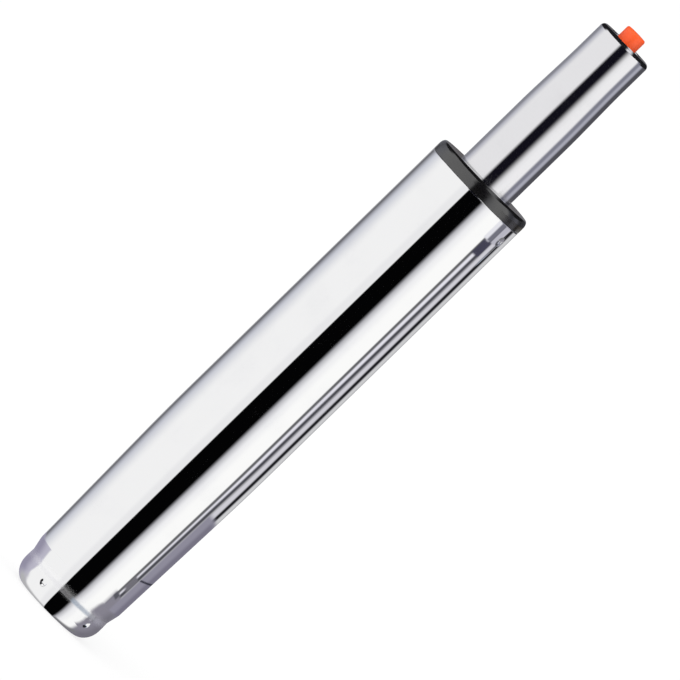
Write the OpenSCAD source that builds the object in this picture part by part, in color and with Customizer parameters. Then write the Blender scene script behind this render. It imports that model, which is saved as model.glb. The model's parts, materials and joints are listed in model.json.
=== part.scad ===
// Chair gas lift cylinder, shown fully lowered.
// The axis is Z and the bottom rim stands on Z = 0.

/* [Outer column] */
// Length of the column tube, from the bottom rim to the top edge
column_length = 250; // [210:1:320]
// Outer diameter of the straight part of the column
column_d = 50; // [48:0.5:58]
// Wall thickness of the column tube
column_wall = 1.8; // [1.4:0.1:2.2]
// Slope of the base cone and of the seat cone, in degrees from the axis
taper_angle = 1.44; // [0.8:0.01:2]
// Length of the base cone
cone_length = 72; // [50:1:90]

/* [Column foot] */
// Radial step from the small end of the base cone in to the nose
nose_step = 1.5; // [0.6:0.1:2.5]
// Height at which the nose ends and flares out to the cone
nose_height = 11.5; // [9:0.5:16]
// Height of the flare between nose and cone
flare_height = 10; // [6:0.5:14]
// Corner radius of the rolled bottom edge
nose_corner_r = 7; // [5.5:0.5:8]
// Diameter of the opening in the bottom
rim_opening_d = 24; // [21:0.5:26]

/* [Punch marks] */
// Diameter of a punch mark
punch_d = 2.8; // [2:0.1:3.4]
// Depth of a punch mark
punch_depth = 0.7; // [0.4:0.05:0.9]
// Number of punch marks round the nose
nose_punches = 5; // [3:1:8]
// Height of the nose punch marks above the bottom rim
nose_punch_height = 5.3; // [5:0.1:7]
// Direction of the first nose punch mark, in degrees
nose_punch_angle = -114; // [-180:1:180]
// Number of punch marks below the collar
collar_punches = 2; // [2:1:4]
// Distance from the collar down to its punch marks
collar_punch_drop = 7.2; // [6:0.1:9]
// Direction of the first collar punch mark, in degrees
collar_punch_angle = -27; // [-180:1:180]

/* [Guide bush] */
// Outer diameter of the collar
collar_d = 50; // [47:0.1:54]
// Thickness of the collar
collar_thickness = 6; // [4:0.5:9]
// Rounding of the collar's top edge
collar_edge_r = 1.2; // [0.3:0.1:1.5]
// Length of the bush below the collar
bush_length = 114; // [80:1:140]
// Wall of the bush sleeve
bush_wall = 3; // [2:0.1:4]
// Height of the ring under the collar
top_ring_height = 16; // [13:1:30]
// Height of the ring at the bottom of the bush
low_ring_height = 10; // [6:1:20]
// Number of ribs between the two rings
rib_count = 6; // [3:1:10]
// Thickness of a rib
rib_thickness = 2.5; // [1.5:0.1:4]

/* [Thrust bearing] */
// Height of the recess under the base cup, above the column floor
recess_height = 3.8; // [3.2:0.1:5]
// Thickness of the base cup between recess and bearing
cup_web = 4.2; // [3:0.1:6]
// Depth of the seat that holds the lower race
race_seat = 0.6; // [0.3:0.1:1]
// Outer diameter of the bearing races
race_d = 25; // [23.5:0.5:28]
// Thickness of a bearing race
race_thickness = 1.5; // [1.2:0.1:2.5]
// Depth of the ball track in a race
track_depth = 0.4; // [0.2:0.05:0.6]
// Diameter of a bearing ball
ball_d = 4; // [3.2:0.1:4.4]
// Diameter of the circle that the ball centres lie on
ball_circle_d = 17.6; // [17:0.2:18.6]
// Number of balls
ball_count = 10; // [6:1:11]
// Thickness of the ball cage
cage_thickness = 1.6; // [1.2:0.1:2]
// Width of the ball cage ring, measured along the radius
cage_width = 5.6; // [5.2:0.1:6]

/* [Piston rod] */
// Diameter of the piston rod
rod_d = 10; // [9:0.5:12]
// Diameter of the rod's stub through the bearing
stub_d = 8; // [7:0.1:8.4]
// Length of the stub below the retaining clip
stub_tail = 1.8; // [1:0.1:2.2]
// Diameter at the bottom of the clip groove
clip_groove_d = 6; // [5:0.1:6.4]
// Thickness of the retaining clip
clip_thickness = 1.1; // [0.8:0.1:1.3]
// Outer diameter of the retaining clip
clip_d = 15; // [12:0.5:17]
// Thickness of the retaining washer
washer_thickness = 1.2; // [0.8:0.1:1.5]
// Outer diameter of the retaining washer
washer_d = 19; // [16:0.5:20]
// Height of the rubber buffer
buffer_height = 12; // [8:0.5:20]
// Outer diameter of the rubber buffer
buffer_d = 22; // [18:0.5:26]
// Depth of the waist round the buffer
buffer_waist = 1.5; // [0.5:0.1:2]
// Height of the piston's lands, beside its seal and ring
piston_land = 2.5; // [1.5:0.1:4]
// Gap between the piston and the seal support when the lift is fully raised
piston_stop_gap = 4; // [1:0.5:10]
// Diameter of the rivet end that holds the piston
rivet_d = 7; // [5:0.1:8]
// Diameter of the rivet head
rivet_head_d = 10.5; // [9.5:0.1:13]
// Height of the rivet head
rivet_head_height = 1.6; // [1:0.1:3]
// Section diameter of the piston seal
piston_seal_d = 2.4; // [1.8:0.1:2.8]
// Height of the piston guide ring
piston_ring_height = 3; // [2:0.1:4]
// Thickness of the piston guide ring
piston_ring_wall = 1.2; // [0.8:0.1:1.6]

/* [Gas spring tube] */
// Outer diameter of the gas spring tube
tube_d = 28; // [26:0.5:31]
// Wall thickness of the gas spring tube
tube_wall = 2; // [1.6:0.1:2.1]
// Length of the gas spring tube
tube_length = 310; // [290:1:380]
// Rounding where the tube's ends are rolled in
tube_edge_r = 2.2; // [1.8:0.1:3]
// Length of the straight tip above the seat cone
seat_tip_length = 19; // [14:1:30]
// Length of the seat cone
seat_cone_length = 25; // [15:1:40]
// Diameter of the opening in the top of the tube
tube_top_opening_d = 17; // [14:0.5:19]
// Diameter of the opening in the bottom of the tube
tube_low_opening_d = 15; // [13:0.5:19]
// Wall thickness of the inner cylinder
cylinder_wall = 0.9; // [0.6:0.1:1.2]
// Width of the gas passage between tube and inner cylinder
gas_gap = 1.5; // [1.2:0.1:2]
// Width of the gas slots at the foot of the inner cylinder
gas_slot_width = 4; // [2:0.5:8]
// Height of the gas slots above the spigot that they clear
gas_slot_rise = 3; // [2:0.5:6]
// Rise of the gas spring from lowest to highest
stroke = 140; // [100:1:150]

/* [Lower closing stack] */
// Thickness of the end washer
end_washer_thickness = 1.5; // [1:0.1:3]
// Height of the rod guide
guide_height = 10; // [6:0.5:16]
// Height of the rod seal
seal_height = 6; // [4:0.5:10]
// Thickness of the rod seal's lips
seal_lip = 1.7; // [1:0.1:2.2]
// Depth of the groove between the rod seal's lips
seal_lip_depth = 3; // [2:0.1:3.5]
// Height of the seal support under the inner cylinder
support_height = 3; // [2:0.5:6]
// Height of the spigot that centres the inner cylinder
support_spigot = 3; // [2:0.5:5]

/* [Valve] */
// Thickness of the valve retainer
retainer_thickness = 2; // [1.2:0.1:3]
// Length of the valve body
valve_length = 46; // [44:0.5:56]
// Length of the valve body's spigot in the inner cylinder
valve_spigot = 10; // [8.5:0.5:11]
// Diameter of the valve pin
pin_d = 5; // [4:0.1:5.4]
// Diameter of the pin's waist
pin_waist_d = 3.4; // [2.4:0.1:3.6]
// Diameter of the pin's foot
pin_foot_d = 7.4; // [6.8:0.1:8.4]
// Thickness of the pin's foot
pin_foot_thickness = 1.5; // [1:0.1:3]
// Distance from the lower pin seal up to the pin's waist
waist_rise = 3; // [2:0.1:4]
// Length of the pin's waist beyond the button's travel
waist_spare = 4; // [3:0.1:5]
// Depth of the gas groove round the valve body
neck_depth = 1.3; // [0.8:0.1:1.6]
// Section diameter of the valve and pin seals
seal_section_d = 2; // [1.6:0.1:2.2]
// Height of the lower pin seal above the bottom of the valve body
lower_seal_height = 7; // [6:0.1:8]
// Height of the port chamber's floor above the bottom of the valve body
chamber_height = 12; // [11.5:0.1:13]
// Length of the port chamber
chamber_length = 12; // [10:0.5:13]
// Diameter of the port chamber
chamber_d = 8; // [7:0.1:9]
// Number of gas ports
port_count = 4; // [2:1:6]
// Diameter of a gas port
port_d = 2.5; // [1.5:0.1:3]
// Height of the upper pin seal above the port chamber
upper_seal_rise = 4.5; // [3.5:0.1:5]
// Distance from the top of the valve body down to its outer seal
valve_seal_drop = 9; // [5:0.5:11]

/* [Release button] */
// Diameter of the release button
button_d = 10.1; // [9:0.1:11.5]
// Height of the button above the tube
button_height = 6.2; // [5.5:0.1:12]
// Rounding of the button's top edge
button_edge_r = 1; // [0.4:0.1:1.6]
// Length of the button inside the valve body
button_insert = 7; // [5:0.5:8]
// Depth of the hole in the button for the pin
button_hole_depth = 8; // [5:0.5:10]
// Travel of the button
button_travel = 5; // [3:0.5:5.5]
// Room left under the button when it is pressed
button_room = 1; // [0.5:0.1:1.5]

/* [Clearances] */
// Gap between pieces that seat in one another
seat_gap = 0.05; // [0.02:0.01:0.08]
// Gap between pieces that slide on one another
slide_gap = 0.05; // [0.02:0.01:0.08]
// Gap between the gas spring tube and the guide bush
bush_gap = 0.1; // [0.05:0.01:0.15]
// Gap between the balls and their tracks, and over the retaining washer
run_gap = 0.05; // [0.02:0.01:0.1]
// Gap between the piston and the inner cylinder
piston_gap = 0.15; // [0.1:0.01:0.25]
// Gap between the stub and the lower race
race_gap = 1.2; // [0.6:0.1:1.6]
// Gap for gas round the pin, below its lower seal
exit_gap = 0.5; // [0.3:0.05:0.7]
// Gap between pieces that pass each other
free_gap = 0.3; // [0.2:0.05:0.4]
// Gap over the buffer when the lift is fully lowered
rest_gap = 0.3; // [0.2:0.05:0.6]

/* [Hidden] */
$fn = 96;

// Points along each rounded corner, and along the flare
arc_steps = 10;
flare_steps = 14;
// Cuts reach this far past the faces that they open
cut = 1;

// Column radii and heights
column_r = column_d / 2;
column_bore_r = column_r - column_wall;
cone_small_r = column_r - cone_length * tan(taper_angle);
nose_r = cone_small_r - nose_step;
nose_bore_r = nose_r - column_wall;
rim_r = rim_opening_d / 2;
cone_z = nose_height + flare_height;
cone_top_z = cone_z + cone_length;
collar_top_z = column_length + collar_thickness;

// Punch marks are caps of a ball
punch_ball_r = (pow(punch_d / 2, 2) + pow(punch_depth, 2)) / (2 * punch_depth);
nose_punch_rise = max(nose_corner_r - nose_punch_height, 0);
nose_punch_r = nose_r - nose_corner_r + sqrt(pow(nose_corner_r, 2) - pow(nose_punch_rise, 2));
collar_punch_z = column_length - collar_punch_drop;

// Guide bush
tube_r = tube_d / 2;
bush_bore_r = tube_r + bush_gap;
bush_sleeve_r = bush_bore_r + bush_wall;
bush_ring_r = column_bore_r - seat_gap;
bush_z = column_length - bush_length;
bush_chamfer = 0.6;
collar_r = collar_d / 2;

// Bearing heights, from the column floor up to the rod's shoulder
cup_floor_z = column_wall + seat_gap;
cup_web_z = cup_floor_z + recess_height;
cup_top_z = cup_web_z + cup_web;
race_low_z = cup_top_z - race_seat;
ball_r = ball_d / 2;
ball_circle_r = ball_circle_d / 2;
ball_z = race_low_z + race_thickness - track_depth + run_gap + ball_r;
race_high_z = ball_z + ball_r + run_gap - track_depth;
shoulder_z = race_high_z + race_thickness;
race_r = race_d / 2;
washer_z = cup_web_z - run_gap - washer_thickness;
clip_z = washer_z - clip_thickness;

// Rod, buffer and piston
rod_r = rod_d / 2;
stub_r = stub_d / 2;
stub_z = clip_z - stub_tail;
rod_chamfer = 0.6;
buffer_r = buffer_d / 2;
rivet_r = rivet_d / 2;

// Gas spring tube
tube_bore_r = tube_r - tube_wall;
tube_corner_r = max(tube_edge_r, tube_wall + 2 * seat_gap);
tip_r = tube_r - seat_cone_length * tan(taper_angle);
tip_bore_r = tip_r - tube_wall;
tube_z = shoulder_z + buffer_height + rest_gap;
tube_top_z = tube_z + tube_length;
seat_cone_top_z = tube_top_z - seat_tip_length;
seat_cone_z = seat_cone_top_z - seat_cone_length;
cylinder_r = tube_bore_r - gas_gap;
cylinder_bore_r = cylinder_r - cylinder_wall;

// Lower closing stack
end_washer_z = tube_z + tube_wall;
guide_z = end_washer_z + end_washer_thickness;
seal_z = guide_z + guide_height;
support_z = seal_z + seal_height;
cylinder_z = support_z + support_height;
gas_slot_height = support_spigot + gas_slot_rise;
piston_z = cylinder_z + support_spigot + stroke + piston_stop_gap;
piston_r = cylinder_bore_r - piston_gap;
piston_ring_z = piston_z + piston_land;
piston_seal_z = piston_ring_z + piston_ring_height + piston_land + piston_seal_d / 2;
piston_top_z = piston_seal_z + piston_seal_d / 2 + piston_land;

// Valve
retainer_z = tube_top_z - tube_wall - retainer_thickness;
valve_z = retainer_z - valve_length;
cylinder_top_z = valve_z + valve_spigot;
valve_r = tip_bore_r - seat_gap;
spigot_r = cylinder_bore_r - seat_gap;
pin_r = pin_d / 2;
pin_bore_r = pin_r + slide_gap;
pin_exit_r = pin_r + exit_gap;
seal_r = seal_section_d / 2;
lower_seal_z = valve_z + lower_seal_height;
chamber_z = valve_z + chamber_height;
chamber_top_z = chamber_z + chamber_length;
upper_seal_z = chamber_top_z + upper_seal_rise;
pin_seal_r = pin_bore_r + seal_r;
valve_seal_z = retainer_z - valve_seal_drop;
spigot_seal_z = valve_z + valve_spigot / 2;
waist_z = lower_seal_z + waist_rise;
waist_length = button_travel + waist_spare;

// Release button
button_r = button_d / 2;
button_top_z = tube_top_z + button_height;
button_z = retainer_z - button_insert;
button_bore_r = button_r + free_gap;
button_bore_z = button_z - button_travel - button_room;
pin_top_z = button_z + button_hole_depth;
pin_foot_z = valve_z - free_gap - pin_foot_thickness;

// Points of an arc about a centre at radius x and height z
function arc(x, z, r, from, to) =
    [for (i = [0:arc_steps]) let (a = from + (to - from) * i / arc_steps) [x + r * cos(a), z + r * sin(a)]];

// A list back to front
function back(points) = [for (i = [len(points) - 1:-1:0]) points[i]];

// Point of the flare's S curve, with t from 0 at the nose to 1 at the cone
function flare_point(t, inset) =
    [nose_r + nose_step * (1 - cos(180 * t)) / 2 - inset, nose_height + flare_height * t];

// Side of the column from the bottom opening to the top edge, moved inwards by the inset
function column_side(inset) = concat(
    [[rim_r, inset]],
    arc(nose_r - nose_corner_r, nose_corner_r, nose_corner_r - inset, -90, 0),
    [for (i = [0:flare_steps]) flare_point(i / flare_steps, inset)],
    [[column_r - inset, cone_top_z], [column_r - inset, column_length]]);

// Side of the gas spring tube from the bottom opening to the top one, moved inwards by the inset
function tube_side(inset) = concat(
    [[tube_low_opening_d / 2, tube_z + inset]],
    arc(tube_r - tube_corner_r, tube_z + tube_corner_r, tube_corner_r - inset, -90, 0),
    [[tube_r - inset, seat_cone_z], [tip_r - inset, seat_cone_top_z]],
    arc(tip_r - tube_corner_r, tube_top_z - tube_corner_r, tube_corner_r - inset, 0, 90),
    [[tube_top_opening_d / 2, tube_top_z - inset]]);

// Flat or tall ring from its two radii
module ring(outer_r, inner_r, z, height) {
    translate([0, 0, z])
        difference() {
            cylinder(r = outer_r, h = height);
            translate([0, 0, -cut]) cylinder(r = inner_r, h = height + 2 * cut);
        }
}

// Round-section ring
module round_ring(middle_r, z, section_r) {
    rotate_extrude() translate([middle_r, z]) circle(section_r);
}

// Rows of balls that press the punch marks into the column
module punch_row(count, first, surface_r, z, press_r) {
    for (i = [0:count - 1])
        rotate([0, 0, first + 360 / count * i])
            translate([surface_r - punch_depth + punch_ball_r, 0, z])
                sphere(press_r);
}

module punch_rows(press_r) {
    punch_row(nose_punches, nose_punch_angle, nose_punch_r, nose_punch_height, press_r);
    punch_row(collar_punches, collar_punch_angle, column_r, collar_punch_z, press_r);
}

// Groove that takes the inner side of a row of punch marks
module punch_groove(surface_r, z) {
    round_ring(surface_r - punch_depth + punch_ball_r, z, punch_ball_r + column_wall + seat_gap);
}

module outer_column() {
    color("gainsboro")
        difference() {
            union() {
                rotate_extrude() polygon(concat(column_side(0), back(column_side(column_wall))));
                intersection() {
                    rotate_extrude()
                        polygon(concat(column_side(column_wall / 2),
                            [[0, column_length], [0, column_wall / 2]]));
                    punch_rows(punch_ball_r + column_wall);
                }
            }
            punch_rows(punch_ball_r);
        }
}

module guide_bush() {
    low_ring_z = bush_z + low_ring_height;
    top_ring_z = column_length - top_ring_height;
    color("#262427")
        difference() {
            union() {
                rotate_extrude()
                    polygon(concat(
                        [[bush_bore_r, bush_z], [bush_ring_r, bush_z], [bush_ring_r, low_ring_z],
                        [bush_sleeve_r, low_ring_z], [bush_sleeve_r, top_ring_z],
                        [bush_ring_r, top_ring_z], [bush_ring_r, column_length],
                        [collar_r, column_length]],
                        arc(collar_r - collar_edge_r, collar_top_z - collar_edge_r,
                            collar_edge_r, 0, 90),
                        [[bush_bore_r + bush_chamfer, collar_top_z],
                        [bush_bore_r, collar_top_z - bush_chamfer]]));
                for (i = [0:rib_count - 1])
                    rotate([0, 0, 360 / rib_count * i])
                        bush_rib();
            }
            punch_groove(column_r, collar_punch_z);
        }
}

// Rib along the sleeve, between the rings and clear of the column
module bush_rib() {
    root_r = bush_bore_r + bush_wall / 2;
    translate([root_r, -rib_thickness / 2, bush_z + low_ring_height / 2])
        cube([bush_ring_r - free_gap - root_r, rib_thickness,
            bush_length - low_ring_height / 2 - top_ring_height + cut]);
}

module base_cup() {
    hole_r = stub_r + free_gap;
    color("dimgray")
        difference() {
            rotate_extrude()
                polygon(concat(
                    [[hole_r, cup_web_z], [rim_r, cup_web_z], [rim_r, cup_floor_z]],
                    arc(nose_r - nose_corner_r, nose_corner_r,
                        nose_corner_r - column_wall - seat_gap, -90, 0),
                    [[nose_bore_r - seat_gap, cup_top_z], [race_r + seat_gap, cup_top_z],
                    [race_r + seat_gap, race_low_z], [hole_r, race_low_z]]));
            punch_groove(nose_punch_r, nose_punch_height);
        }
}

// Bearing race with the ball track on one face
module race(z, hole_r) {
    color("silver")
        difference() {
            ring(race_r, hole_r, z, race_thickness);
            round_ring(ball_circle_r, ball_z, ball_r + run_gap);
        }
}

module lower_race() {
    race(race_low_z, stub_r + race_gap);
}

module upper_race() {
    race(race_high_z, stub_r + seat_gap);
}

// Puts a copy at each ball's place
module at_balls() {
    for (i = [0:ball_count - 1])
        rotate([0, 0, 360 / ball_count * i])
            translate([ball_circle_r, 0, ball_z])
                children();
}

module bearing_balls() {
    color("whitesmoke")
        at_balls() sphere(ball_r);
}

module ball_cage() {
    color("goldenrod")
        difference() {
            ring(ball_circle_r + cage_width / 2, ball_circle_r - cage_width / 2,
                ball_z - cage_thickness / 2, cage_thickness);
            at_balls() cylinder(r = ball_r + run_gap, h = cage_thickness + cut, center = true);
        }
}

module piston_rod() {
    groove_r = clip_groove_d / 2;
    head_r = rivet_head_d / 2;
    color("lightsteelblue")
        rotate_extrude()
            polygon([[0, stub_z], [stub_r - rod_chamfer, stub_z], [stub_r, stub_z + rod_chamfer],
                [stub_r, clip_z - seat_gap], [groove_r, clip_z - seat_gap],
                [groove_r, washer_z + seat_gap], [stub_r, washer_z + seat_gap],
                [stub_r, shoulder_z], [rod_r, shoulder_z], [rod_r, piston_z], [rivet_r, piston_z],
                [rivet_r, piston_top_z], [head_r, piston_top_z],
                [head_r - rod_chamfer, piston_top_z + rivet_head_height],
                [0, piston_top_z + rivet_head_height]]);
}

module buffer() {
    waist_r = buffer_height / 4;
    color("#2b2b2d")
        difference() {
            ring(buffer_r, rod_r + seat_gap, shoulder_z, buffer_height);
            round_ring(buffer_r + waist_r - buffer_waist, shoulder_z + buffer_height / 2, waist_r);
        }
}

module retaining_washer() {
    color("silver")
        ring(washer_d / 2, stub_r + seat_gap, washer_z, washer_thickness);
}

// Horseshoe clip, pushed into the stub's groove from the side
module retaining_clip() {
    mouth_r = clip_groove_d / 2 + seat_gap;
    color("slategray")
        difference() {
            ring(clip_d / 2, mouth_r, clip_z, clip_thickness);
            translate([0, -mouth_r, clip_z - cut])
                cube([clip_d, 2 * mouth_r, clip_thickness + 2 * cut]);
        }
}

module piston() {
    seal_groove_r = cylinder_bore_r - slide_gap - piston_seal_d - seat_gap;
    ring_groove_r = cylinder_bore_r - slide_gap - piston_ring_wall - seat_gap;
    color("darkgray")
        difference() {
            ring(piston_r, rivet_r + seat_gap, piston_z, piston_top_z - piston_z);
            ring(piston_r + cut, seal_groove_r, piston_seal_z - piston_seal_d / 2 - seat_gap,
                piston_seal_d + 2 * seat_gap);
            ring(piston_r + cut, ring_groove_r, piston_ring_z - seat_gap,
                piston_ring_height + 2 * seat_gap);
        }
}

module piston_seal() {
    color("#202022")
        round_ring(cylinder_bore_r - slide_gap - piston_seal_d / 2, piston_seal_z, piston_seal_d / 2);
}

module piston_ring() {
    outer_r = cylinder_bore_r - slide_gap;
    color("ivory")
        ring(outer_r, outer_r - piston_ring_wall, piston_ring_z, piston_ring_height);
}

module spring_tube() {
    color("gainsboro")
        rotate_extrude() polygon(concat(tube_side(0), back(tube_side(tube_wall))));
}

module inner_cylinder() {
    color("lightgray")
        difference() {
            ring(cylinder_r, cylinder_bore_r, cylinder_z, cylinder_top_z - cylinder_z);
            for (turn = [0, 90])
                rotate([0, 0, turn])
                    translate([-tube_r, -gas_slot_width / 2, cylinder_z - cut])
                        cube([tube_d, gas_slot_width, gas_slot_height + cut]);
        }
}

module end_washer() {
    color("silver")
        ring(tube_bore_r - seat_gap, rod_r + free_gap, end_washer_z, end_washer_thickness);
}

module rod_guide() {
    color("ivory")
        ring(tube_bore_r - seat_gap, rod_r + slide_gap, guide_z, guide_height);
}

// Seal with a pressure groove between its inner and outer lip
module rod_seal() {
    color("#202022")
        difference() {
            ring(tube_bore_r - seat_gap, rod_r + slide_gap, seal_z, seal_height);
            ring(tube_bore_r - seal_lip, rod_r + seal_lip, support_z - seal_lip_depth, seal_height);
        }
}

module seal_support() {
    color("tan")
        union() {
            ring(tube_bore_r - seat_gap, rod_r + free_gap, support_z, support_height);
            ring(cylinder_bore_r - seat_gap, rod_r + free_gap, support_z, support_height + support_spigot);
        }
}

// Square groove for a round-section seal in an outer wall
module outer_seal_groove(wall_r, z) {
    ring(wall_r + cut, wall_r - seal_section_d, z - seal_r - seat_gap, seal_section_d + 2 * seat_gap);
}

// Square groove for a round-section seal round the pin
module pin_seal_groove(z) {
    translate([0, 0, z - seal_r - seat_gap])
        cylinder(r = pin_seal_r + seal_r + seat_gap, h = seal_section_d + 2 * seat_gap);
}

module valve_body() {
    color("darkkhaki")
        difference() {
            rotate_extrude()
                polygon([[pin_exit_r, valve_z], [spigot_r, valve_z], [spigot_r, cylinder_top_z],
                    [valve_r, cylinder_top_z], [valve_r, chamber_z], [valve_r - neck_depth, chamber_z],
                    [valve_r - neck_depth, chamber_top_z], [valve_r, chamber_top_z],
                    [valve_r, retainer_z], [button_bore_r, retainer_z], [button_bore_r, button_bore_z],
                    [pin_bore_r, button_bore_z], [pin_bore_r, chamber_top_z],
                    [chamber_d / 2, chamber_top_z], [chamber_d / 2, chamber_z],
                    [pin_bore_r, chamber_z], [pin_bore_r, lower_seal_z], [pin_exit_r, lower_seal_z]]);
            pin_seal_groove(lower_seal_z);
            pin_seal_groove(upper_seal_z);
            outer_seal_groove(valve_r, valve_seal_z);
            outer_seal_groove(spigot_r, spigot_seal_z);
            for (i = [0:port_count - 1])
                rotate([0, 0, 360 / port_count * i])
                    translate([0, 0, chamber_z + chamber_length / 2])
                        rotate([0, 90, 0])
                            cylinder(d = port_d, h = tube_r);
        }
}

module valve_seal() {
    color("#202022")
        round_ring(valve_r - seal_r, valve_seal_z, seal_r);
}

module spigot_seal() {
    color("#202022")
        round_ring(spigot_r - seal_r, spigot_seal_z, seal_r);
}

module pin_seals() {
    color("#202022") {
        round_ring(pin_seal_r, lower_seal_z, seal_r);
        round_ring(pin_seal_r, upper_seal_z, seal_r);
    }
}

module valve_retainer() {
    color("silver")
        ring(tip_bore_r - seat_gap, button_bore_r, retainer_z, retainer_thickness);
}

module release_button() {
    hole_r = pin_r + seat_gap;
    color("#f4602f")
        rotate_extrude()
            polygon(concat(
                [[hole_r, button_z], [button_r, button_z]],
                arc(button_r - button_edge_r, button_top_z - button_edge_r, button_edge_r, 0, 90),
                [[0, button_top_z], [0, pin_top_z], [hole_r, pin_top_z]]));
}

module valve_pin() {
    foot_r = pin_foot_d / 2;
    waist_r = pin_waist_d / 2;
    color("silver")
        rotate_extrude()
            polygon([[0, pin_foot_z], [foot_r, pin_foot_z], [foot_r, pin_foot_z + pin_foot_thickness],
                [pin_r, pin_foot_z + pin_foot_thickness], [pin_r, waist_z], [waist_r, waist_z],
                [waist_r, waist_z + waist_length], [pin_r, waist_z + waist_length],
                [pin_r, pin_top_z], [0, pin_top_z]]);
}

outer_column();
guide_bush();
base_cup();
lower_race();
ball_cage();
bearing_balls();
piston_rod();
upper_race();
buffer();
retaining_washer();
retaining_clip();
piston();
piston_seal();
piston_ring();
spring_tube();
inner_cylinder();
end_washer();
rod_guide();
rod_seal();
seal_support();
valve_body();
valve_seal();
spigot_seal();
pin_seals();
valve_retainer();
release_button();
valve_pin();
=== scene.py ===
# Looks of a chair gas lift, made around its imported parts: metres, Z up, bottom rim at the origin
import bpy
import json
import math
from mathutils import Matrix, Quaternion, Vector


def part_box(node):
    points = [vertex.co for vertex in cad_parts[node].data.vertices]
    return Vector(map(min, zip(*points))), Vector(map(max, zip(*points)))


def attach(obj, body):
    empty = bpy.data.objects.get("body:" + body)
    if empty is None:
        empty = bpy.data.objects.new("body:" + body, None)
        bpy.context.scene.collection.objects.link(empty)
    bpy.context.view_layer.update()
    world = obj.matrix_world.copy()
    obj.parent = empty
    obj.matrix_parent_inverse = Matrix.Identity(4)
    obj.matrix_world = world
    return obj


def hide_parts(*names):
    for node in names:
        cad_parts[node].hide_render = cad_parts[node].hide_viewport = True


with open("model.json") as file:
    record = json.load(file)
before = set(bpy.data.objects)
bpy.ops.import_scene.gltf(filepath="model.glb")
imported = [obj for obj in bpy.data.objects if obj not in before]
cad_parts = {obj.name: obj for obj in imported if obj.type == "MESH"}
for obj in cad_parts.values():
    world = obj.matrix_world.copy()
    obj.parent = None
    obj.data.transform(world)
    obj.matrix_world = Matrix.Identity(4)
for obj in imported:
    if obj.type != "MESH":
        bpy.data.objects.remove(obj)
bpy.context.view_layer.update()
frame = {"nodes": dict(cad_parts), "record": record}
mm = 0.001
bpy.context.scene.view_settings.view_transform = "Standard"
print("frame loaded with", len(frame["nodes"]), "nodes")


# Camera
photoView = {
    "elevation": 3.6,               # degrees above the horizon
    "axisSlope": 44.25,             # slope of the lift's axis in the picture, degrees
    "frameWidth": 0.2838,           # what the picture spans at the lift
    "aim": (0.0050, 0.0, 0.1658),   # point in the middle of the picture
    "lens": 800.0,
    "sensor": 36.0,
}


def placeCamera(view):
    distance = view["frameWidth"] * view["lens"] / view["sensor"]
    rise = math.radians(view["elevation"])
    back = Vector((0, -math.cos(rise), math.sin(rise)))
    look = Quaternion((1, 0, 0), math.pi / 2 - rise)
    roll = Quaternion((0, 0, 1), math.radians(90 - view["axisSlope"]))
    bpy.ops.object.camera_add(location=Vector(view["aim"]) + back * distance)
    camera = bpy.context.object
    camera.rotation_euler = (look @ roll).to_euler()
    camera.data.lens = view["lens"]
    camera.data.sensor_width = view["sensor"]
    bpy.context.scene.camera = camera


placeCamera(photoView)


# Shader nodes
def addNode(tree, kind, inputs=None, **settings):
    made = tree.nodes.new("ShaderNode" + kind)
    for key, value in settings.items():
        setattr(made, key, value)
    for key, value in (inputs or {}).items():
        if isinstance(value, bpy.types.NodeSocket):
            tree.links.new(value, made.inputs[key])
        else:
            made.inputs[key].default_value = value
    return made


def maths(tree, operation, first, second=0.0):
    return addNode(tree, "Math", {0: first, 1: second}, operation=operation).outputs[0]


def mixColour(tree, factor, first, second):
    return addNode(tree, "Mix", {0: factor, 6: first, 7: second}, data_type="RGBA").outputs[2]


def remap(tree, value, fromLow, fromHigh, toLow=0.0, toHigh=1.0):
    ends = {"Value": value, "From Min": fromLow, "From Max": fromHigh, "To Min": toLow, "To Max": toHigh}
    return addNode(tree, "MapRange", ends, interpolation_type="SMOOTHSTEP").outputs[0]


def objectPlace(tree):
    return addNode(tree, "TexCoord").outputs["Object"]


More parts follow.
